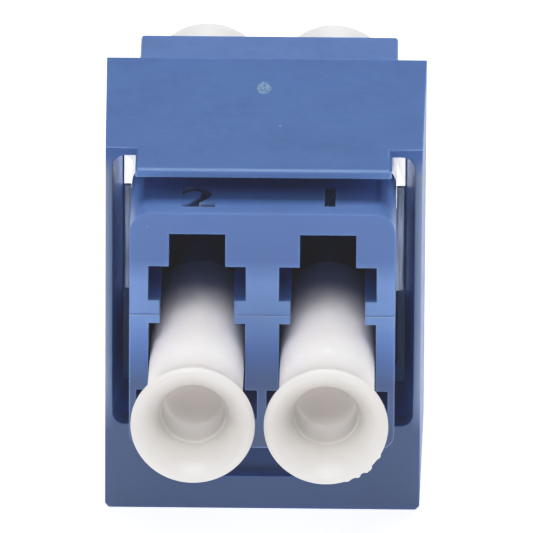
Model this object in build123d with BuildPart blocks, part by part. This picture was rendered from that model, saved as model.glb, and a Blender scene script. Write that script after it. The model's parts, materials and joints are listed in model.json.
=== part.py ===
from build123d import *
import os

# Duplex fibre adapter in a snap-in sleeve, in millimetres.
# Origin: on the surface it stands on, below the plane where the fibres meet.
# +X right and +Z up when looking into the front ports, which face -Y.

# Driving dimensions: ports, the same at both ends of the body.
# Heights are measured from the ferrule axis towards the latch side.
port_pitch = 6.25
port_web = 0.45
plug_opening = 4.63
recess_top = 1.14
recess_bottom = 2.62
recess_depth = 4.0
neck_width = 3.56
lug_width = 4.66
lug_floor = 3.5
lug_roof = 5.24
arm_width = 2.69
arm_roof = 6.92
shoulder_thickness = 2.4

# Driving dimensions: body
body_length = 29.6
side_wall = 0.325
crown_wall = 1.08
front_keel_wall = 1.5
rear_keel_wall = 2.55
crown_radius = 1.0
front_keel_radius = 0.7
rear_keel_radius = 0.18
middle_wall = 1.0
parting_height = 2.76
parting_step = 0.05
flange_length = 1.5
flange_overhang = 0.6

# Driving dimensions: ferrule alignment
ferrule_diameter = 1.25
ferrule_clearance = 0.03
sleeve_wall = 0.185
sleeve_length = 6.8
sleeve_slit = 0.25
sleeve_clearance = 0.03
snout_wall = 0.41
snout_length = 4.6
snout_lead_in = 0.2

# Driving dimensions: sleeve that snaps into a panel and carries the body
shell_length = 11.5
shell_setback = 4.8
shell_wall = 0.5
shell_roof = 0.4
shell_flare = 0.17
crown_clearance = 0.3
side_clearance = 0.15
front_plate = 1.0
foot_chamfer = 0.2
window_wall = 0.35
window_sill = 0.88
window_corner = 0.6
window_depth = 4.5
window_taper = 5.7
web_thickness = 1.2
web_clearance = 0.1
web_end_clearance = 0.15
core_count = 3
core_rib = 0.7
core_roof = 0.6
lip_inset = 1.47
lip_reach = 2.65
lip_root = 1.5
lip_corner = 0.15
lip_bevel = 0.12

# Driving dimensions: spring clip bent from one strip of sheet
clip_sheet = 0.25
clip_width = 2.85
clip_leg_end = 0.3
clip_clearance = 0.02
wing_reach = 0.4
wing_bottom = 0.4
wing_angle = 20
ear_drop = 0.4
ear_height = 1.76
ear_gap = 0.12
ear_corner = 0.25

# Driving dimensions: dust caps, lengths measured from the port face
cap_clearance = 0.045
cap_nose_diameter = 2.6
cap_tip_gap = 1.6
cap_rim_gap = 0.34
cap_rim_face = 0.355
cap_rim_bevel = 0.2
cap_bore_diameter = 2.98
cap_throat_diameter = 3.58
cap_shank_depth = 3.0
cap_nose_depth = 6.0
cap_flare_start = 4.4
cap_rim_reach = 7.12
cap_throat_reach = 6.42
cap_funnel_end = 5.4
cap_bore_floor = 3.45

# Sizes that follow: the body wraps the ports
recess_width = port_pitch - port_web
body_width = port_pitch + recess_width + 2 * side_wall
latch_side = arm_roof + crown_wall
front_keel = recess_bottom + front_keel_wall
rear_keel = recess_bottom + rear_keel_wall
half_length = body_length / 2
cavity_depth = half_length - middle_wall
sleeve_diameter = ferrule_diameter + 2 * sleeve_wall
snout_diameter = sleeve_diameter + 2 * (sleeve_clearance + snout_wall)

# Sizes that follow: the shell wraps the flange of the body, with the web in front of it
pocket_width = body_width + 2 * (flange_overhang + side_clearance)
pocket_height = 2 * (latch_side + flange_overhang + crown_clearance)
shell_front_width = pocket_width + 2 * shell_wall
shell_rear_width = shell_front_width + 2 * shell_flare
shell_height = pocket_height + 2 * shell_wall
axis_height = shell_height / 2
shell_front = shell_setback - half_length
shell_rear = shell_front + shell_length
web_front = shell_front + window_depth
web_rear = web_front + web_thickness
flange_start = web_rear + web_end_clearance + half_length
window_width = shell_front_width - 2 * window_wall
window_roof = shell_height - shell_roof
window_floor = axis_height - front_keel - window_sill
lip_width = shell_front_width - 2 * lip_inset

# Sizes that follow: the clip stops short of the web, and the caps fill the ports
clip_rear = web_front - web_end_clearance
clip_front = clip_rear - clip_width + half_length
ear_top = latch_side - ear_drop
ear_bottom = ear_top - ear_height
wing_top = ear_bottom - ear_gap
cap_body_diameter = plug_opening - 2 * cap_clearance
cap_rim_diameter = port_pitch - cap_rim_gap
cap_mouth_diameter = cap_rim_diameter - 2 * cap_rim_face
cap_tip_depth = half_length - snout_length - cap_tip_gap

port_places = (-port_pitch / 2, port_pitch / 2)
front_face = Plane((0, -half_length, axis_height), x_dir=(1, 0, 0), z_dir=(0, -1, 0))
rear_face = Plane((0, half_length, axis_height), x_dir=(1, 0, 0), z_dir=(0, 1, 0))


# Cross-section of the body, latch side up, grown all round by a margin
def body_outline(keel, keel_radius, margin=0.0):
    with BuildSketch() as outline:
        with Locations((0, (latch_side - keel) / 2)):
            Rectangle(body_width, latch_side + keel)
        fillet(outline.vertices().group_by(Axis.Y)[-1], crown_radius)
        fillet(outline.vertices().group_by(Axis.Y)[0], keel_radius)
        if margin:
            offset(amount=margin)
    return outline.sketch


# One band of both port openings in the open sketch, between two heights
def port_band(width, low, high):
    with Locations(*[(across, (low + high) / 2) for across in port_places]):
        Rectangle(width, high - low)


# The same circle at both ports in the open sketch
def port_circle(diameter):
    with Locations(*[(across, 0) for across in port_places]):
        Circle(diameter / 2)


# One half of the body, drawn on its open face and looking into the ports, latch side up.
# The rear face is turned over, so there the latch side points down.
def body_half(face, keel, keel_radius, flanged):
    with BuildPart() as half:
        with BuildSketch(face):
            add(body_outline(keel, keel_radius))
        extrude(amount=-half_length)
        # Flange that stops behind the web of the sleeve
        if flanged:
            with BuildSketch(face.offset(-flange_start)):
                add(body_outline(keel, keel_radius, flange_overhang))
            extrude(amount=-flange_length)
        # Step where the mould parts: above it the face stands back a little
        with BuildSketch(face):
            with Locations((0, parting_height)):
                Rectangle(body_width, latch_side, align=(Align.CENTER, Align.MIN))
        extrude(amount=-parting_step, mode=Mode.SUBTRACT)
        # Plug cavity and latch channel of each port, down to the middle wall
        with BuildSketch(face):
            port_band(plug_opening, -plug_opening / 2, plug_opening / 2)
            port_band(neck_width, 0, lug_floor)
            port_band(lug_width, lug_floor, lug_roof)
            port_band(arm_width, lug_roof, arm_roof)
        extrude(amount=-cavity_depth, mode=Mode.SUBTRACT)
        # The channel widens behind the face wall, which leaves the latch its shoulders
        with BuildSketch(face.offset(-shoulder_thickness)):
            port_band(lug_width, lug_roof, arm_roof)
        extrude(amount=shoulder_thickness - cavity_depth, mode=Mode.SUBTRACT)
        # Relief for the foot of the plug
        with BuildSketch(face):
            port_band(recess_width, -recess_bottom, -recess_top)
        extrude(amount=-recess_depth, mode=Mode.SUBTRACT)
        # Snouts on the middle wall, bored for the alignment sleeves and then the ferrules
        with BuildSketch(face.offset(-cavity_depth)):
            port_circle(snout_diameter)
        extrude(amount=snout_length - middle_wall)
        with BuildSketch(face.offset(-half_length)):
            port_circle(sleeve_diameter + 2 * sleeve_clearance)
        extrude(amount=sleeve_length / 2 + sleeve_clearance, mode=Mode.SUBTRACT)
        with BuildSketch(face.offset(-half_length)):
            port_circle(ferrule_diameter + 2 * ferrule_clearance)
        extrude(amount=snout_length, mode=Mode.SUBTRACT)
        outward = Axis(face.origin, face.z_dir)
        bore_mouths = half.edges(Select.LAST).filter_by(GeomType.CIRCLE).group_by(outward)[-1]
        chamfer(bore_mouths, snout_lead_in)
    return half.part


with BuildPart() as front_housing:
    add(body_half(front_face, front_keel, front_keel_radius, True))
    # Groove that seats the clip, over the crown and down both sides
    with BuildSketch(front_face.offset(-clip_front)):
        with Locations((0, clip_leg_end - clip_clearance)):
            Rectangle(body_width * 2, latch_side * 2, align=(Align.CENTER, Align.MIN))
        add(body_outline(front_keel, front_keel_radius, -clip_sheet), mode=Mode.SUBTRACT)
    extrude(amount=-clip_width - clip_clearance, mode=Mode.SUBTRACT)
front_housing.part.label = "front_housing"

with BuildPart() as rear_housing:
    add(body_half(rear_face, rear_keel, rear_keel_radius, False))
rear_housing.part.label = "rear_housing"


# Sleeve round the body: flared block, hollowed from both ends down to one web
with BuildPart() as outer_shell:
    with BuildSketch():
        with BuildLine():
            Polyline(
                (-shell_front_width / 2, shell_front),
                (shell_front_width / 2, shell_front),
                (shell_rear_width / 2, shell_rear),
                (-shell_rear_width / 2, shell_rear),
                close=True,
            )
        make_face()
    extrude(amount=shell_height)
    foot_edges = outer_shell.edges().group_by(Axis.Z)[0].sort_by(Axis.X)
    chamfer([foot_edges[0], foot_edges[-1]], foot_chamfer)
    # Front window, drafted so that the clip's wings close up to its sides at the web
    window_centre = (window_roof + window_floor) / 2
    with BuildSketch(Plane((0, shell_front, window_centre), x_dir=(-1, 0, 0), z_dir=(0, 1, 0))):
        RectangleRounded(window_width, window_roof - window_floor, window_corner)
    extrude(amount=window_depth, taper=window_taper, mode=Mode.SUBTRACT)
    # Hole in the web that the front half passes through
    with BuildSketch(front_face.offset(-shell_setback - window_depth)):
        add(body_outline(front_keel, front_keel_radius, web_clearance))
    extrude(amount=-web_thickness, mode=Mode.SUBTRACT)
    # Rear pocket for the flange and the turned-over rear half
    with BuildSketch(Plane((0, web_rear, axis_height), x_dir=(-1, 0, 0), z_dir=(0, 1, 0))):
        RectangleRounded(pocket_width, pocket_height, window_corner)
    extrude(amount=shell_rear - web_rear, mode=Mode.SUBTRACT)
    # Cores behind the front plate, with ribs left between them
    core_width = (pocket_width - (core_count - 1) * core_rib) / core_count
    core_height = window_floor - core_roof - shell_wall
    with BuildSketch(Plane((0, web_rear, shell_wall), x_dir=(1, 0, 0), z_dir=(0, -1, 0))):
        with GridLocations(core_width + core_rib, 0, core_count, 1):
            Rectangle(core_width, core_height, align=(Align.CENTER, Align.MIN))
    extrude(amount=web_rear - shell_front - front_plate, mode=Mode.SUBTRACT)
    # Latch lip that carries the roof forward over the ports
    with BuildSketch(Plane.XY.offset(window_roof)):
        with Locations((0, shell_front - lip_reach)):
            Rectangle(lip_width, lip_reach + lip_root, align=(Align.CENTER, Align.MIN))
    extrude(amount=shell_roof)
    lip_tip = outer_shell.faces().filter_by(Axis.Y).sort_by(Axis.Y)[0]
    fillet(lip_tip.edges().filter_by(Axis.Z), lip_corner)
    lip_tip = outer_shell.faces().filter_by(Axis.Y).sort_by(Axis.Y)[0]
    chamfer(lip_tip.edges().sort_by(Axis.Z)[-1], lip_bevel)
outer_shell.part.label = "outer_shell"


# Clip: a strip over the crown of the front half, its legs down both sides
with BuildPart() as spring_clip:
    with BuildSketch(front_face.offset(-clip_front)):
        add(body_outline(front_keel, front_keel_radius, clip_clearance))
        add(body_outline(front_keel, front_keel_radius, clip_clearance - clip_sheet), mode=Mode.SUBTRACT)
        with Locations((0, clip_leg_end)):
            Rectangle(body_width * 2, latch_side * 2, align=(Align.CENTER, Align.MAX), mode=Mode.SUBTRACT)
    extrude(amount=-clip_width)
    # Edges of the legs turned outwards: a sprung wing below and a square ear above,
    # both bearing on the web
    leg_inner = body_width / 2 + clip_clearance - clip_sheet
    with BuildSketch(Plane.XY.offset(axis_height + wing_bottom)):
        with BuildLine():
            lean = Vector(clip_sheet + wing_reach, 0).rotate(Axis.Z, wing_angle)
            root = Vector(leg_inner, clip_rear - lean.Y)
            Polyline(
                root,
                root + lean,
                root + lean - (0, clip_sheet),
                root - (0, clip_sheet),
                close=True,
            )
        make_face()
        mirror(about=Plane.YZ)
    extrude(amount=wing_top - wing_bottom)
    with BuildSketch(front_face.offset(clip_sheet - clip_front - clip_width)) as ears:
        with Locations((leg_inner, ear_bottom)):
            Rectangle(clip_sheet + wing_reach, ear_height, align=(Align.MIN, Align.MIN))
        fillet(ears.vertices().group_by(Axis.Y)[-1].sort_by(Axis.X)[-1], ear_corner)
        mirror(about=Plane.YZ)
    extrude(amount=-clip_sheet)
spring_clip.part.label = "spring_clip"


# Split alignment sleeves, closed up inside the two halves where the fibres meet
sleeves = []
for side, across in zip(("left", "right"), port_places):
    with BuildPart() as split_sleeve:
        with BuildSketch(front_face.offset(sleeve_length / 2 - half_length)):
            with Locations((across, 0)):
                Circle(sleeve_diameter / 2)
                Circle(ferrule_diameter / 2, mode=Mode.SUBTRACT)
                Rectangle(sleeve_slit, sleeve_diameter, align=(Align.CENTER, Align.MIN), mode=Mode.SUBTRACT)
        extrude(amount=-sleeve_length)
    split_sleeve.part.label = f"split_sleeve_{side}"
    sleeves.append(split_sleeve)


# Dust caps: one turned profile, pushed into each of the four ports
caps = []
for end, face in (("front", front_face), ("rear", rear_face)):
    for side, across in zip(("left", "right"), port_places):
        centre = face.origin + (across, 0, 0)
        outward = face.z_dir
        with BuildPart() as dust_cap:
            # Drawn with the radius to the right and the way out of the port upwards
            with BuildSketch(Plane(centre, x_dir=(1, 0, 0), z_dir=(0, 0, outward.Y))):
                with BuildLine():
                    flare_base = (cap_body_diameter / 2, cap_flare_start)
                    Polyline(
                        (0, -cap_tip_depth),
                        (cap_nose_diameter / 2, -cap_tip_depth),
                        (cap_nose_diameter / 2, -cap_nose_depth),
                        (cap_body_diameter / 2, -cap_shank_depth),
                        flare_base,
                    )
                    rim_edge = (cap_rim_diameter / 2, cap_rim_reach - cap_rim_bevel)
                    TangentArc(flare_base, rim_edge, tangent=(0, 1))
                    # Rim, funnel and bore, back to the axis
                    Polyline(
                        rim_edge,
                        (cap_rim_diameter / 2 - cap_rim_bevel, cap_rim_reach),
                        (cap_mouth_diameter / 2, cap_rim_reach),
                        (cap_throat_diameter / 2, cap_throat_reach),
                        (cap_bore_diameter / 2, cap_funnel_end),
                        (cap_bore_diameter / 2, cap_bore_floor),
                        (0, cap_bore_floor),
                        (0, -cap_tip_depth),
                    )
                make_face()
            revolve(axis=Axis(centre, outward))
        dust_cap.part.label = f"{end}_cap_{side}"
        caps.append(dust_cap)


os.makedirs("parts", exist_ok=True)
for piece in [outer_shell, front_housing, rear_housing, spring_clip] + sleeves + caps:
    export_step(piece.part, f"parts/{piece.part.label}.step")
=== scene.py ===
import bpy
import bmesh
import json
import math
from mathutils import Matrix, Vector


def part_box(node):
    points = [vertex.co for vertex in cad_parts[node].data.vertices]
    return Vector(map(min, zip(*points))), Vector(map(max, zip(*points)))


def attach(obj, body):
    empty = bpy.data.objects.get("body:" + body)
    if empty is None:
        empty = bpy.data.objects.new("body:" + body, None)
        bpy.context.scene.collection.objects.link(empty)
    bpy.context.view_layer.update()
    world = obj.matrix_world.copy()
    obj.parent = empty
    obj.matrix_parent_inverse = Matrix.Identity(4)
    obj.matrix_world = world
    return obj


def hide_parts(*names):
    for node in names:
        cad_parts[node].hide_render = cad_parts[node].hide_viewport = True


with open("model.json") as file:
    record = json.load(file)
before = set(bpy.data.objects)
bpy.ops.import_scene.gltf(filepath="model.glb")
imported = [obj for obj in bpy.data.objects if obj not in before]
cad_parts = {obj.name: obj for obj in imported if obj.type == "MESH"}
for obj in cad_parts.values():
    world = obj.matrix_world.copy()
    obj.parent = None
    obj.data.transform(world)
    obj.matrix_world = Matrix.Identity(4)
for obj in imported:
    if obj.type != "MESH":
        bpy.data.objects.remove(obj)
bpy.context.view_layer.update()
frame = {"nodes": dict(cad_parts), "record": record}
mm = 0.001
print("frame loaded:", len(frame["nodes"]), "nodes")


# Camera: a long lens above the ports, looking down on them almost straight on

camera = {
    "elevation": 22.845,   # degrees above level
    "azimuth": 0.57,       # degrees round to the right
    "roll": 0.327,         # degrees anticlockwise
    "distance": 800 * mm,
    "focalPixels": 16770.5,
    "frameWidth": 533,
    "sensor": 36,
    "clipping": (0.01, 20),
    "target": (0.194 * mm, -14.8 * mm, 14.719 * mm),
}


def placeCamera(c):
    elevation, azimuth = math.radians(c["elevation"]), math.radians(c["azimuth"])
    back = Vector((
        math.sin(azimuth) * math.cos(elevation),
        -math.cos(azimuth) * math.cos(elevation),
        math.sin(elevation),
    ))
    right = Vector((math.cos(azimuth), math.sin(azimuth), 0))
    axes = Matrix((right, back.cross(right), back)).transposed().to_4x4()
    data = bpy.data.cameras.new("camera")
    data.sensor_width = c["sensor"]
    data.lens = c["focalPixels"] / c["frameWidth"] * data.sensor_width
    data.clip_start, data.clip_end = c["clipping"]
    view = bpy.data.objects.new("camera", data)
    place = Matrix.Translation(Vector(c["target"]) + back * c["distance"])
    view.matrix_world = place @ axes @ Matrix.Rotation(math.radians(c["roll"]), 4, "Z")
    bpy.context.collection.objects.link(view)
    bpy.context.scene.camera = view


placeCamera(camera)
print("camera placed")


def finishPiece(bm, name):
    mesh = bpy.data.meshes.new(name)
    bm.to_mesh(mesh)
    bm.free()
    piece = bpy.data.objects.new(name, mesh)
    bpy.context.collection.objects.link(piece)
    return piece


# Materials. Every pattern is laid on Object coordinates, in metres.

class NodeBench:
    # A material's tree, with short ways to add and join nodes
    def __init__(self, name):
        self.material = bpy.data.materials.new(name)
        self.material.use_nodes = True
        self.tree = self.material.node_tree
        self.shader = self.tree.nodes["Principled BSDF"]
        self.place = self.add("ShaderNodeTexCoord").outputs["Object"]

    def add(self, kind, **sockets):
        node = self.tree.nodes.new(kind)
        for socket, value in sockets.items():
            self.feed(node.inputs[socket.replace("_", " ")], value)
        return node

    def feed(self, socket, value):
        if isinstance(value, bpy.types.NodeSocket):
            self.tree.links.new(value, socket)
        else:
            socket.default_value = value

    def noise(self, scale, detail=2.0, stretch=None):
        place = self.place
        if stretch:
            place = self.add("ShaderNodeMapping", Vector=place, Scale=stretch).outputs["Vector"]
        return self.add("ShaderNodeTexNoise", Vector=place, Scale=scale, Detail=detail).outputs["Fac"]

    def ramp(self, value, stops):
        node = self.add("ShaderNodeValToRGB", Fac=value)
        marks = node.color_ramp.elements
        while len(marks) < len(stops):
            marks.new(0.5)
        for mark, (position, colour) in zip(marks, stops):
            mark.position = position
            mark.color = (*colour, 1)
        return node.outputs["Color"]

    def range(self, value, low, high, outLow=0.0, outHigh=1.0):
        node = self.add("ShaderNodeMapRange", Value=value)
        sockets = ("From Min", "From Max", "To Min", "To Max")
        for socket, number in zip(sockets, (low, high, outLow, outHigh)):
            node.inputs[socket].default_value = number
        return node.outputs["Result"]

    def maths(self, operation, first, second=0.0):
        node = self.add("ShaderNodeMath")
        node.operation = operation
        self.feed(node.inputs[0], first)
        self.feed(node.inputs[1], second)
        return node.outputs["Value"]

    def mix(self, amount, first, second):
        node = self.add("ShaderNodeMix")
        node.data_type = "RGBA"
        self.feed(node.inputs["Factor"], amount)
        self.feed(node.inputs[6], first)
        self.feed(node.inputs[7], second)
        return node.outputs[2]

    def bump(self, height, strength, distance, below=None):
        node = self.add("ShaderNodeBump", Height=height, Strength=strength, Distance=distance)
        if below:
            self.feed(node.inputs["Normal"], below)
        return node.outputs["Normal"]

    def along(self, axis):
        return self.add("ShaderNodeSeparateXYZ", Vector=self.place).outputs[axis]

    def fade(self, steps, share=1.0):
        # A share of a patch: each step rises from its first place to its second along one axis.
        # X is counted outwards from the middle, to both sides.
        amount = share
        for axis, start, full in steps:
            place = self.along(axis)
            if axis == "X":
                place = self.maths("ABSOLUTE", place)
            amount = self.maths("MULTIPLY", self.range(place, start, full), amount)
        return amount

    def tint(self, colour, patch):
        amount = self.fade(patch["steps"], patch.get("share", 1.0))
        return self.mix(amount, colour, (*patch["colour"], 1))

    def away(self, centre, reach):
        # Distance from a place on the piece, in shares of the reach along each axis
        scale = [1 / length for length in reach]
        shift = [-across * share for across, share in zip(centre, scale)]
        moved = self.add("ShaderNodeMapping", Vector=self.place, Location=shift, Scale=scale)
        length = self.add("ShaderNodeVectorMath")
        length.operation = "LENGTH"
        self.feed(length.inputs[0], moved.outputs["Vector"])
        return length.outputs["Value"]

    def edges(self, radius, openFace=0.995, onEdge=0.80, samples=4):
        # 0 on open faces, rising to 1 along the edges
        rounded = self.add("ShaderNodeBevel", Radius=radius)
        rounded.samples = samples
        facing = self.add("ShaderNodeVectorMath")
        facing.operation = "DOT_PRODUCT"
        self.feed(facing.inputs[0], rounded.outputs["Normal"])
        self.feed(facing.inputs[1], self.add("ShaderNodeNewGeometry").outputs["Normal"])
        return self.range(facing.outputs["Value"], openFace, onEdge)

    def fix(self, **sockets):
        for socket, value in sockets.items():
            self.feed(self.shader.inputs[socket.replace("_", " ")], value)
        return self.material

    def mould(self, colour, normal, plastic):
        # A moulded plastic that lets some light in
        sheen = self.noise(plastic["sheenScale"], detail=plastic["sheenDetail"])
        return self.fix(
            Base_Color=colour,
            Roughness=self.range(sheen, *plastic["sheens"], *plastic["roughness"]),
            Normal=normal,
            Subsurface_Weight=plastic["subsurface"],
            Subsurface_Scale=plastic["subsurfaceReach"],
            Subsurface_Radius=plastic["subsurfaceRadius"],
            IOR=plastic["ior"],
        )


# Blue moulded plastic. Painted light: the body halves are a lighter blue than the sleeve, standing in
# for the extra light on the rear top and the port face

bluePlastic = {
    "cloudScale": 260,        # uneven pigment, a few millimetres across
    "cloudStops": (0.30, 0.55),
    "grainScale": 9000,
    "grainStrength": 0.15,
    "grainDepth": 0.004 * mm,
    "flowScale": 900,         # flow marks along the moulding
    "flowStretch": (1, 0.3, 1),
    "flowStrength": 0.08,
    "edgeWidth": 0.11 * mm,
    "edgeHighlightShare": 0.75,        # painted highlight: how far the edges turn to the lighter blue
    "sheenScale": 1500,
    "sheenDetail": 3,
    "sheens": (0.3, 0.7),     # the noise between these gives the roughness between those
    "roughness": (0.37, 0.49),
    "subsurface": 0.45,
    "subsurfaceReach": 0.7 * mm,
    "subsurfaceRadius": (0.45, 0.65, 1.0),
    "ior": 1.46,
}
sleeveBlue = {
    "deep": (0.038, 0.132, 0.415),
    "plain": (0.046, 0.150, 0.460),
    "pale": (0.125, 0.285, 0.660),
    "patches": [
        {   # painted shade: the front plate darker and greyer than the roof, as it gets less light
            "colour": (0.056, 0.104, 0.238),
            "steps": [("Y", -8.7 * mm, -9.0 * mm), ("Z", 17.9 * mm, 17.2 * mm)],
        },
        {   # painted light: the front ends of the thin side walls made paler, as if lit through
            "colour": (0.370, 0.450, 0.620),
            "share": 0.9,
            "steps": [
                ("X", 7.10 * mm, 7.62 * mm), ("Y", -9.6 * mm, -9.95 * mm),
                ("Z", 4.0 * mm, 6.5 * mm), ("Z", 18.4 * mm, 17.4 * mm),
            ],
        },
        {   # painted highlight: the lip's front made paler, where light catches it
            "colour": (0.125, 0.285, 0.660),
            "share": 0.7,
            "steps": [("Y", -12.4 * mm, -12.5 * mm)],
        },
    ],
    "specks": [(0.727 * mm, -7.09 * mm, 18.8 * mm), (-2.57 * mm, 1.5 * mm, 18.8 * mm)],
    "gateMark": (-0.077 * mm, -2.286 * mm, 18.8 * mm),
    "gateReach": (0.44 * mm, 0.80 * mm, 0.5 * mm),
}
bodyBlue = {
    "deep": (0.074, 0.173, 0.480),
    "plain": (0.084, 0.193, 0.530),
    "pale": (0.190, 0.350, 0.760),
    "faceHeights": (5.0 * mm, 15.0 * mm),
    "paintedFaceShading": [                 # painted shade towards the bottom, and a painted lighter band higher up
        (0.00, (0.045, 0.070, 0.140)),
        (0.36, (0.044, 0.092, 0.235)),
        (0.49, (0.080, 0.182, 0.500)),
        (0.56, (0.116, 0.245, 0.650)),
        (0.69, (0.215, 0.395, 0.860)),
        (0.88, (0.215, 0.385, 0.850)),
        (1.00, (0.102, 0.212, 0.560)),
    ],
    "faceSteps": [("Y", -14.3 * mm, -14.7 * mm)],
    "faceShare": 0.9,
    "patches": [
        {   # painted highlight: a bright line where the two halves of the mould met
            "colour": (0.330, 0.500, 0.830),
            "steps": [
                ("Z", 12.09 * mm, 12.12 * mm), ("Z", 12.20 * mm, 12.17 * mm),
                ("Y", -14.6 * mm, -14.7 * mm),
            ],
        },
        {   # painted shade: the floors of the port numbers darkened, in the crown of the front half
            "colour": (0.020, 0.052, 0.155),
            "steps": [
                ("Z", 17.36 * mm, 17.22 * mm), ("Z", 17.0 * mm, 17.05 * mm),
                ("Y", -11.0 * mm, -11.1 * mm), ("Y", -14.5 * mm, -14.4 * mm),
                ("X", 5.0 * mm, 4.9 * mm),
            ],
        },
    ],
    "specks": [(-5.51 * mm, -14.8 * mm, 16.7 * mm)],
}
speck = {"radius": 0.07 * mm, "colour": (0.55, 0.62, 0.74), "fade": (1.0, 0.4)}
tornGate = {
    "colour": (0.27, 0.44, 0.64),
    "wavyScale": 4500,
    "waves": 0.9,             # how ragged its outline is
    "rim": (1.45, 1.15),      # from nothing outside to full inside, in shares of its reach
    "fleckScale": 9000,
    "flecks": (0.38, 0.60),
    "strength": 0.6,
    "depth": 0.02 * mm,
}


def makeBlue(name, tone):
    b = bluePlastic
    bench = NodeBench(name)
    deepUpTo, plainFrom = b["cloudStops"]
    cloud = bench.noise(b["cloudScale"], detail=3)
    colour = bench.ramp(cloud, [(deepUpTo, tone["deep"]), (plainFrom, tone["plain"])])
    if "paintedFaceShading" in tone:
        colour = faceTone(bench, tone, colour)
    for patch in tone["patches"]:
        colour = bench.tint(colour, patch)
    # Painted highlight: the edges turn to the lighter blue
    edge = bench.maths("MULTIPLY", bench.edges(b["edgeWidth"]), b["edgeHighlightShare"])
    colour = bench.mix(edge, colour, (*tone["pale"], 1))
    for place in tone["specks"]:
        spot = bench.range(bench.away(place, [speck["radius"]] * 3), *speck["fade"])
        colour = bench.mix(spot, colour, (*speck["colour"], 1))
    flow = bench.noise(b["flowScale"], detail=3, stretch=b["flowStretch"])
    normal = bench.bump(bench.noise(b["grainScale"]), b["grainStrength"], b["grainDepth"])
    normal = bench.bump(flow, b["flowStrength"], b["grainDepth"], normal)
    if "gateMark" in tone:
        torn = tornPatch(bench, tone, tornGate)
        colour = bench.mix(torn, colour, (*tornGate["colour"], 1))
        normal = bench.bump(torn, tornGate["strength"], tornGate["depth"], normal)
    return bench.mould(colour, normal, b)


def faceTone(bench, tone, colour):
    # Painted shade and light on the port face, by height
    height = bench.range(bench.along("Z"), *tone["faceHeights"])
    amount = bench.fade(tone["faceSteps"], tone["faceShare"])
    return bench.mix(amount, colour, bench.ramp(height, tone["paintedFaceShading"]))


def tornPatch(bench, tone, t):
    # Where the moulding was broken off its runner: a ragged, speckled patch
    wavy = bench.maths("MULTIPLY", bench.noise(t["wavyScale"]), t["waves"])
    reach = bench.maths("ADD", bench.away(tone["gateMark"], tone["gateReach"]), wavy)
    flecks = bench.range(bench.noise(t["fleckScale"], detail=1), *t["flecks"])
    return bench.maths("MULTIPLY", bench.range(reach, *t["rim"]), flecks)


# White plastic of the dust caps, which lets light through

capPlastic = {
    "cloudScale": 300,
    "clouds": [(0.35, (0.84, 0.80, 0.78)), (0.5, (0.875, 0.83, 0.805)), (0.7, (0.885, 0.81, 0.79))],
    "flare": {                                           # painted shade: the front caps darker towards their rims
        "colour": (0.52, 0.490, 0.470),
        "steps": [("Y", -17.8 * mm, -19.8 * mm)],        # on the front caps only
    },
    "gateMark": (3.13 * mm, -17.7 * mm, 11.67 * mm),     # on one cap only
    "gateReach": (0.26 * mm, 0.34 * mm, 0.3 * mm),
    "gateFade": (1.0, 0.6),
    "gateColour": (0.96, 0.95, 0.94),
    "gateStrength": 0.8,
    "gateDepth": 0.03 * mm,
    "grainScale": 3500,
    "grainStrength": 0.2,
    "grainDepth": 0.006 * mm,
    "sheenScale": 1200,
    "sheenDetail": 2,
    "sheens": (0.3, 0.7),
    "roughness": (0.35, 0.46),
    "subsurface": 1.0,
    "subsurfaceReach": 2.6 * mm,
    "subsurfaceRadius": (0.95, 1.0, 1.0),
    "ior": 1.49,
}


def makeCapWhite(name, c):
    bench = NodeBench(name)
    colour = bench.ramp(bench.noise(c["cloudScale"]), c["clouds"])
    colour = bench.tint(colour, c["flare"])
    gate = bench.range(bench.away(c["gateMark"], c["gateReach"]), *c["gateFade"])
    colour = bench.mix(gate, colour, (*c["gateColour"], 1))
    normal = bench.bump(bench.noise(c["grainScale"], detail=3), c["grainStrength"], c["grainDepth"])
    normal = bench.bump(gate, c["gateStrength"], c["gateDepth"], normal)
    return bench.mould(colour, normal, c)


# Spring clip: bright sheet, streaked and pitted where its turned-out wings were sheared. The wings'
# streaks carry painted shade and a painted blue reflection of the body round them; the ear is painted
# near-white for the glare on it

clipSteel = {
    # painted shade and painted blue reflection in the wings' streaks
    "wingStreaksShadeAndReflection": [(0.3, (0.079, 0.104, 0.162)), (0.6, (0.284, 0.336, 0.475))],
    "streakScale": 5200,
    "streakStretch": (1, 1, 0.08),
    "streakStrength": 0.3,
    "streakDepth": 0.006 * mm,
    # painted highlight: the ear near-white, partly bright steel and partly painted glare
    "ear": (1.0, 0.99, 0.97),
    "earFoot": (15.15 * mm, 15.18 * mm),     # heights where the wing ends and the square ear starts
    "shearedFrom": 12.8 * mm,
    "pitScale": 7000,
    "pits": (0.35, 0.65),
    "pitStrength": 0.5,
    "pitDepth": 0.03 * mm,
    "roughness": (0.16, 0.38),               # of the ear, of the wing
    "metal": (0.3, 0.6),                     # likewise
}


def makeSteel(name, s):
    bench = NodeBench(name)
    streak = bench.noise(s["streakScale"], detail=4, stretch=s["streakStretch"])
    height = bench.along("Z")
    ear = bench.range(height, *s["earFoot"])
    wing = bench.maths("SUBTRACT", 1.0, ear)
    colour = bench.mix(ear, bench.ramp(streak, s["wingStreaksShadeAndReflection"]), (*s["ear"], 1))
    sheared = bench.maths("MULTIPLY", bench.range(height, s["shearedFrom"], s["earFoot"][1]), wing)
    pits = bench.maths("MULTIPLY", bench.range(bench.noise(s["pitScale"]), *s["pits"]), sheared)
    drawn = bench.maths("MULTIPLY", streak, wing)
    normal = bench.bump(drawn, s["streakStrength"], s["streakDepth"])
    normal = bench.bump(pits, s["pitStrength"], s["pitDepth"], normal)
    return bench.fix(
        Base_Color=colour,
        Metallic=bench.range(wing, 0.0, 1.0, *s["metal"]),
        Roughness=bench.range(wing, 0.0, 1.0, *s["roughness"]),
        Normal=normal,
    )


# Alignment sleeves: ground ceramic

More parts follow.
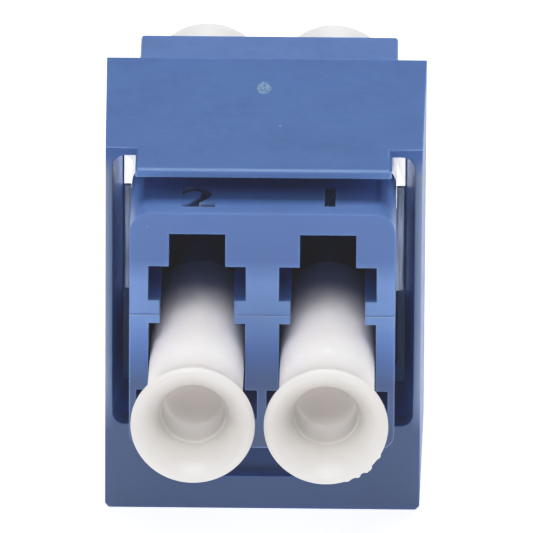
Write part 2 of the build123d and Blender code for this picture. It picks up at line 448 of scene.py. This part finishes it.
zirconia = {
    "cloudScale": 2000,
    "clouds": [(0.3, (0.82, 0.80, 0.74)), (0.7, (0.90, 0.89, 0.85))],
    "grainScale": 20000,
    "grainStrength": 0.1,
    "grainDepth": 0.002 * mm,
    "roughness": 0.12,
    "ior": 2.1,
}


def makeZirconia(name, z):
    bench = NodeBench(name)
    colour = bench.ramp(bench.noise(z["cloudScale"]), z["clouds"])
    normal = bench.bump(bench.noise(z["grainScale"]), z["grainStrength"], z["grainDepth"])
    return bench.fix(Base_Color=colour, Roughness=z["roughness"], Normal=normal, IOR=z["ior"])


# Each finish with the slot it fills
sleeveFinish = (makeBlue("sleeveBlueMoulded", sleeveBlue), "sleeve_blue")
bodyFinish = (makeBlue("bodyBlueMoulded", bodyBlue), "body_blue")
clipFinish = (makeSteel("clipSheetSteel", clipSteel), "clip_steel")
capFinish = (makeCapWhite("capWhiteMoulded", capPlastic), "cap_white")
ceramic = makeZirconia("groundZirconia", zirconia)
finishes = {
    "outer_shell": sleeveFinish,
    "front_housing": bodyFinish,
    "rear_housing": bodyFinish,
    "spring_clip": clipFinish,
    "front_cap_left": capFinish,
    "front_cap_right": capFinish,
    "rear_cap_left": capFinish,
    "rear_cap_right": capFinish,
}
print("materials ready")


# Studio: pale floor, white backdrop and soft lamps that the camera doesn't see

studio = {
    "floorSize": 6.0,
    "floorColour": (0.90, 0.90, 0.90, 1),
    "floorRoughness": 0.9,
    "floorGlow": 0.76,         # the lit paper, which lights the piece from below
    "floorGlowSeen": 1.05,     # a little whiter in the picture
    "backdrop": (1, 1, 1, 1),
    "backdropSeen": 2.5,
    "backdropMirrored": 0.12,  # as gloss and bright sheet mirror it
    "fill": (0.03, 0.03, 0.03, 1),
    "haze": 0.0152,            # darks lifted, as by a lens
    "shoulder": [(0.0, 0.0), (0.55, 0.55), (0.80, 0.755), (1.0, 0.86)],
    "aim": (0, 0, 10 * mm),
    "lampSize": 0.34,
    "lamps": [
        {"name": "frontHigh", "at": (-0.10, -0.42, 0.50), "watts": 0.35},
        {"name": "overhead", "at": (0, 0.22, 0.56), "watts": 2.50},
        {"name": "behind", "at": (0, 0.40, 0.40), "watts": 0.20},
        {"name": "left", "at": (-0.50, -0.15, 0.25), "watts": 0.50},
        {"name": "right", "at": (0.50, -0.15, 0.25), "watts": 0.60},
    ],
    # each lights the pieces named with it and no others
    "spots": [
        {
            "name": "capSpot", "at": (-0.05, -0.36, 0.55), "watts": 3.9,
            "lit": ("front_cap_left_spun", "front_cap_right_spun"),
        },
        {
            "name": "clipSpot", "at": (-0.03, -0.58, 0.26), "watts": 20,
            "lit": ("spring_clip_skin",),
        },
    ],
}


def pathMix(tree, ray, plain, other):
    # The plain shader, but another for what rays of this kind see
    path = tree.nodes.new("ShaderNodeLightPath")
    mix = tree.nodes.new("ShaderNodeMixShader")
    tree.links.new(path.outputs[ray], mix.inputs["Fac"])
    tree.links.new(plain.outputs[0], mix.inputs[1])
    tree.links.new(other.outputs[0], mix.inputs[2])
    return mix


def makeBackdrop(s):
    world = bpy.data.worlds.new("studio")
    world.use_nodes = True
    tree = world.node_tree
    surface = tree.nodes["Background"]
    surface.inputs["Color"].default_value = s["fill"]
    strengths = {"Is Glossy Ray": s["backdropMirrored"], "Is Camera Ray": s["backdropSeen"]}
    for ray, strength in strengths.items():
        cloth = tree.nodes.new("ShaderNodeBackground")
        cloth.inputs["Color"].default_value = s["backdrop"]
        cloth.inputs["Strength"].default_value = strength
        surface = pathMix(tree, ray, surface, cloth)
    tree.links.new(surface.outputs[0], tree.nodes["World Output"].inputs["Surface"])
    bpy.context.scene.world = world


def makeFloor(s):
    bm = bmesh.new()
    bmesh.ops.create_grid(bm, x_segments=1, y_segments=1, size=s["floorSize"] / 2)
    floor = finishPiece(bm, "floor")
    paper = bpy.data.materials.new("paper")
    paper.use_nodes = True
    tree = paper.node_tree
    plain = tree.nodes["Principled BSDF"]
    seen = tree.nodes.new("ShaderNodeBsdfPrincipled")
    for shader, glow in ((plain, s["floorGlow"]), (seen, s["floorGlowSeen"])):
        shader.inputs["Base Color"].default_value = s["floorColour"]
        shader.inputs["Roughness"].default_value = s["floorRoughness"]
        shader.inputs["Emission Color"].default_value = s["backdrop"]
        shader.inputs["Emission Strength"].default_value = glow
    surface = pathMix(tree, "Is Camera Ray", plain, seen)
    tree.links.new(surface.outputs[0], tree.nodes["Material Output"].inputs["Surface"])
    floor.data.materials.append(paper)


def hangLamp(lamp, s):
    data = bpy.data.lights.new(lamp["name"], "AREA")
    data.size, data.energy = s["lampSize"], lamp["watts"]
    light = bpy.data.objects.new(lamp["name"], data)
    light.location = lamp["at"]
    light.rotation_euler = (Vector(s["aim"]) - light.location).to_track_quat("-Z", "Y").to_euler()
    light.visible_camera = False
    bpy.context.collection.objects.link(light)
    return light


def lightOnly(light, names):
    lit = bpy.data.collections.new(light.name + "Lit")
    for name in names:
        lit.objects.link(bpy.data.objects[name])
    light.light_linking.receiver_collection = lit


def setTone(s):
    # Plain tone, with the darks lifted a little and the whites held back
    view = bpy.context.scene.view_settings
    view.view_transform = "Standard"
    view.use_curve_mapping = True
    tone = view.curve_mapping
    tone.black_level = [-s["haze"]] * 3
    points = tone.curves[3].points
    points[0].location, points[1].location = s["shoulder"][0], s["shoulder"][-1]
    for place in s["shoulder"][1:-1]:
        points.new(*place)
    tone.extend = "EXTRAPOLATED"
    tone.update()


makeBackdrop(studio)
makeFloor(studio)
for lamp in studio["lamps"]:
    hangLamp(lamp, studio)
setTone(studio)
print("studio lit")


# Copies of the moulded and bent pieces, with their small edge radii

nodeCopy = {
    "weld": 0.0005 * mm,
    "flatWithin": 0.5,             # degrees between faces, up to which they become one
}
creaseAngle = 40                   # degrees, above which an edge shades sharp
edgeRounding = {
    "width": 0.16 * mm,            # of an edge with a weight of 1
    "segments": 3,
    "sharpness": 35,               # degrees between faces, above which an edge is rounded
    # weights
    "plain": 0.28,                 # most edges
    "frontTopEdge": 1.0,           # the sleeve's top edge either side of the lip
    "lipSide": 0.5,
    "clip": 0.20,
    # places by which the edges are told apart
    "near": 0.05 * mm,
    "plateFront": -10 * mm,
    "lipRoot": -9.9 * mm,
    "lipFront": 0.35 * mm,         # how far back from its front the lip's edges stay sharp
    "roofDepth": 0.3 * mm,
    "footHeight": 0.3 * mm,
    "portFace": 14.7 * mm,
    "middleHeight": 9.4 * mm,
    "stepHeight": 12.16 * mm,      # the parting step stays sharp
    "stepReach": 0.02 * mm,
}


def bodyOf(node):
    for body, members in frame["record"]["behaviour"]["bodies"].items():
        if node in members:
            return body


def copyNode(node, c):
    bm = bmesh.new()
    bm.from_mesh(frame["nodes"][node].data)
    bmesh.ops.remove_doubles(bm, verts=bm.verts, dist=c["weld"])
    flat = math.radians(c["flatWithin"])
    bmesh.ops.dissolve_limit(bm, angle_limit=flat, verts=bm.verts, edges=bm.edges)
    return finishPiece(bm, node + "_skin")


def sleeveWeight(middle, low, high, r):
    onPlate = abs(middle.y - r["plateFront"]) < r["near"]
    onTop = middle.z > high.z - r["near"]
    if middle.z > high.z - r["roofDepth"] and middle.y < r["lipRoot"]:
        if onPlate:
            return r["frontTopEdge"] if onTop else 0
        return r["lipSide"] if middle.y > low.y + r["lipFront"] else 0
    atBack = middle.y > high.y - r["near"]
    if onPlate or onTop or atBack or middle.z < r["footHeight"]:
        return r["plain"]
    return 0


def edgeWeight(node, middle, r):
    low, high = (Vector(corner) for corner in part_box(node))
    if node == "outer_shell":
        return sleeveWeight(middle, low, high, r)
    if node == "spring_clip":
        return r["clip"]
    stepOut = r["stepHeight"] - r["middleHeight"]
    onStep = abs(abs(middle.z - r["middleHeight"]) - stepOut) < r["stepReach"]
    return r["plain"] if abs(middle.y) > r["portFace"] and not onStep else 0


def takeResult(piece):
    # The piece's mesh, with its modifiers worked in
    bpy.context.view_layer.update()
    done = bpy.data.meshes.new_from_object(piece.evaluated_get(bpy.context.evaluated_depsgraph_get()))
    piece.modifiers.clear()
    piece.data = done


def roundEdges(piece, node, r):
    bm = bmesh.new()
    bm.from_mesh(piece.data)
    weight = bm.edges.layers.float.new("bevel_weight_edge")
    sharp = math.radians(r["sharpness"])
    for edge in bm.edges:
        if edge.is_manifold and edge.is_convex and edge.calc_face_angle() > sharp:
            edge[weight] = edgeWeight(node, (edge.verts[0].co + edge.verts[1].co) / 2, r)
    bm.to_mesh(piece.data)
    bm.free()
    bevel = piece.modifiers.new("edgeRadius", "BEVEL")
    bevel.width, bevel.segments = r["width"], r["segments"]
    bevel.limit_method = "WEIGHT"
    bevel.use_clamp_overlap = False
    takeResult(piece)


def cutOut(piece, cutter):
    cut = piece.modifiers.new("cut", "BOOLEAN")
    cut.operation, cut.solver, cut.object = "DIFFERENCE", "EXACT", cutter
    takeResult(piece)
    bpy.data.objects.remove(cutter)


def dress(piece, node):
    material, slot = finishes[node]
    piece.data.materials.clear()
    piece.data.materials.append(material)
    piece.data.shade_smooth()
    piece.data.set_sharp_from_angle(angle=math.radians(creaseAngle))
    even = piece.modifiers.new("evenShading", "WEIGHTED_NORMAL")
    even.keep_sharp = True
    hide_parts(node)
    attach(piece, bodyOf(node))


# Port numbers, sunk into the crown of the front half

portNumbers = {
    "left": ("2", -3.09 * mm, -12.82 * mm),
    "right": ("1", 3.19 * mm, -12.66 * mm),
    "size": 3.3 * mm,
    "stroke": 0.10 * mm,       # added to the strokes on each side
    "depth": 0.24 * mm,
    "crownAhead": -14 * mm,    # the crown's height is taken in front of this
}


def numberCutter(digit, across, along, crown, p):
    curve = bpy.data.curves.new("digit", "FONT")
    curve.body, curve.size = digit, p["size"]
    curve.extrude, curve.offset = p["depth"], p["stroke"]
    curve.align_x, curve.align_y = "CENTER", "CENTER"
    written = bpy.data.objects.new("digit", curve)
    bpy.context.collection.objects.link(written)
    bpy.context.view_layer.update()
    mesh = bpy.data.meshes.new_from_object(written.evaluated_get(bpy.context.evaluated_depsgraph_get()))
    bpy.data.objects.remove(written)
    mesh.transform(Matrix.Translation((across, along, crown)))
    cutter = bpy.data.objects.new("digitCutter", mesh)
    bpy.context.collection.objects.link(cutter)
    return cutter


def numberPorts(piece, p):
    crown = max(vertex.co.z for vertex in piece.data.vertices if vertex.co.y < p["crownAhead"])
    for side in ("left", "right"):
        cutOut(piece, numberCutter(*p[side], crown, p))


# Sleeve: a shallow dimple at the gate, and a pocket in the front plate under the ports

gateDimple = {"radius": 0.42 * mm, "length": 1.9, "depth": 0.05 * mm}
platePocket = {
    "width": 6.8 * mm,
    "bottom": 1.71 * mm,
    "top": 4.6 * mm,
    "depth": 0.90 * mm,
    "face": -10.0 * mm,
}


def sinkGate(piece, g):
    bm = bmesh.new()
    bmesh.ops.create_icosphere(bm, subdivisions=4, radius=g["radius"])
    bmesh.ops.scale(bm, verts=bm.verts, vec=(1, g["length"], g["depth"] / g["radius"]))
    bmesh.ops.translate(bm, verts=bm.verts, vec=sleeveBlue["gateMark"])
    cutOut(piece, finishPiece(bm, "gateCutter"))


def sinkPocket(piece, p):
    height = p["top"] - p["bottom"]
    bm = bmesh.new()
    bmesh.ops.create_cube(bm, size=1)
    bmesh.ops.scale(bm, verts=bm.verts, vec=(p["width"], 2 * p["depth"], height))
    bmesh.ops.translate(bm, verts=bm.verts, vec=(0, p["face"], p["bottom"] + height / 2))
    cutOut(piece, finishPiece(bm, "pocketCutter"))


def makeMoulding(node):
    piece = copyNode(node, nodeCopy)
    if node == "outer_shell":
        sinkPocket(piece, platePocket)
    roundEdges(piece, node, edgeRounding)
    if node == "outer_shell":
        sinkGate(piece, gateDimple)
    if node == "front_housing":
        numberPorts(piece, portNumbers)
    dress(piece, node)


for node in ("outer_shell", "front_housing", "rear_housing", "spring_clip"):
    makeMoulding(node)
for node in ("split_sleeve_left", "split_sleeve_right"):
    sleeve = frame["nodes"][node]
    sleeve.data.materials.clear()
    sleeve.data.materials.append(ceramic)
print("sleeve, body halves, clip and alignment sleeves dressed")


# Dust caps, spun from one profile. Lengths run out of the port from its face.

dustCap = {
    "bodyRadius": 2.27 * mm,
    "shankDepth": 8.0 * mm,
    "tipRadius": 1.9 * mm,
    "tipDepth": 8.6 * mm,
    "tipEase": 0.3 * mm,         # an ease rounds a corner off
    "flareStart": 4.4 * mm,
    "rimRadius": 2.955 * mm,
    "rimReach": 7.12 * mm,
    "rimWidth": 0.28 * mm,
    "rimEase": 0.27 * mm,
    "mouthRadius": 2.60 * mm,
    "mouthEase": 0.05 * mm,
    "throatRadius": 1.62 * mm,
    "funnelEnd": 5.42 * mm,
    "throatStep": 0.06 * mm,
    "boreRadius": 1.49 * mm,
    "boreFloor": 3.45 * mm,
    "boreEase": 0.15 * mm,
    "flareSteps": 10,
    "steps": 240,
    "weld": 0.002 * mm,
    "flashWidth": 0.15 * mm,     # how far in from the rim its flash is felt
}
capLean = {
    # how a cap sits askew: turned about this axis, by these degrees, and pushed in a little further
    "front_cap_left": ("Z", -0.6, 0.031 * mm),
    "rear_cap_left": ("X", 0.9, 0.047 * mm),
    "rear_cap_right": ("X", 0.4, 0.021 * mm),
}
rimFlash = {
    # teeth of flash left on one rim: angle and width in degrees, height
    "front_cap_right": [
        (-31, 5, 0.06 * mm),
        (-45.5, 6, 0.12 * mm),
        (-49.5, 4, 0.13 * mm),
        (-58.5, 5, 0.09 * mm),
        (-69, 6, 0.05 * mm),
    ],
}


def arcBetween(start, end, steps):
    # The arc that leaves start straight along the port and ends at end
    across, along = end[0] - start[0], end[1] - start[1]
    radius = (across ** 2 + along ** 2) / (2 * across)
    turn = 2 * math.atan2(across, along)
    points = []
    for i in range(steps + 1):
        angle = turn * i / steps
        points.append((start[0] + radius * (1 - math.cos(angle)), start[1] + radius * math.sin(angle)))
    return points


def easeCorner(before, corner, after, trim, steps=6):
    # A corner of the profile, rounded off from trim before it to trim after it
    before, corner, after = Vector(before), Vector(corner), Vector(after)
    start = corner + (before - corner).normalized() * trim
    end = corner + (after - corner).normalized() * trim
    points = []
    for i in range(steps + 1):
        t = i / steps
        points.append(tuple(start.lerp(corner, t).lerp(corner.lerp(end, t), t)))
    return points


def capProfile(c):
    rimFoot = (c["rimRadius"], c["rimReach"] - c["rimWidth"])
    flare = arcBetween((c["bodyRadius"], c["flareStart"]), rimFoot, c["flareSteps"])
    mouth = (c["mouthRadius"], c["rimReach"])
    funnel = arcBetween((c["throatRadius"], c["funnelEnd"]), mouth, c["flareSteps"])[::-1]
    # each corner with its ease, from the tip out to the rim and back in to the bore's floor
    corners = [
        ((0, -c["tipDepth"]), 0),
        ((c["tipRadius"], -c["tipDepth"]), c["tipEase"]),
        ((c["bodyRadius"], -c["shankDepth"]), c["tipEase"]),
        *[(point, 0) for point in flare],
        ((c["rimRadius"], c["rimReach"]), c["rimEase"]),
        (funnel[0], c["mouthEase"]),
        *[(point, 0) for point in funnel[1:]],
        ((c["boreRadius"], c["funnelEnd"] - c["throatStep"]), c["mouthEase"]),
        ((c["boreRadius"], c["boreFloor"]), c["boreEase"]),
        ((0, c["boreFloor"]), 0),
    ]
    profile = [corners[0][0]]
    for (before, _), (corner, trim), (after, _) in zip(corners, corners[1:], corners[2:]):
        profile += easeCorner(before, corner, after, trim) if trim else [corner]
    return profile + [corners[-1][0]]


def addFlash(bm, teeth, c):
    # Pushes the rim out at each tooth, most at its widest ring
    for vertex in bm.verts:
        radius = math.hypot(vertex.co.x, vertex.co.z)
        share = (radius - c["rimRadius"] + c["flashWidth"]) / c["flashWidth"]
        angle = math.degrees(math.atan2(vertex.co.z, vertex.co.x))
        for at, width, height in teeth:
            near = 1 - abs(angle - at) / (width / 2)
            if share > 0 and near > 0:
                grown = 1 + height * share * min(1, 2 * near) / radius
                vertex.co.x, vertex.co.z = vertex.co.x * grown, vertex.co.z * grown


def makeCap(node, c):
    low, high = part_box(node)
    outward = -1 if low[1] + high[1] < 0 else 1
    face = low[1] + c["rimReach"] if outward < 0 else high[1] - c["rimReach"]
    bm = bmesh.new()
    ring = [bm.verts.new((radius, outward * along, 0)) for radius, along in capProfile(c)]
    edges = [bm.edges.new(pair) for pair in zip(ring, ring[1:])]
    bmesh.ops.spin(
        bm, geom=ring + edges, cent=(0, 0, 0), axis=(0, 1, 0), dvec=(0, 0, 0),
        angle=math.tau, steps=c["steps"], use_merge=True,
    )
    bmesh.ops.remove_doubles(bm, verts=bm.verts, dist=c["weld"])
    bmesh.ops.recalc_face_normals(bm, faces=bm.faces)
    addFlash(bm, rimFlash.get(node, []), c)
    axis, lean, deeper = capLean.get(node, ("Z", 0, 0))
    turned = Matrix.Rotation(math.radians(lean), 3, axis)
    bmesh.ops.rotate(bm, verts=bm.verts, cent=(0, 0, 0), matrix=turned)
    middle = ((low[0] + high[0]) / 2, face - outward * deeper, (low[2] + high[2]) / 2)
    bmesh.ops.translate(bm, verts=bm.verts, vec=middle)
    dress(finishPiece(bm, node + "_spun"), node)


for end in ("front", "rear"):
    for side in ("left", "right"):
        makeCap(f"{end}_cap_{side}", dustCap)
for lamp in studio["spots"]:
    lightOnly(hangLamp(lamp, studio), lamp["lit"])
print("caps spun and lit")
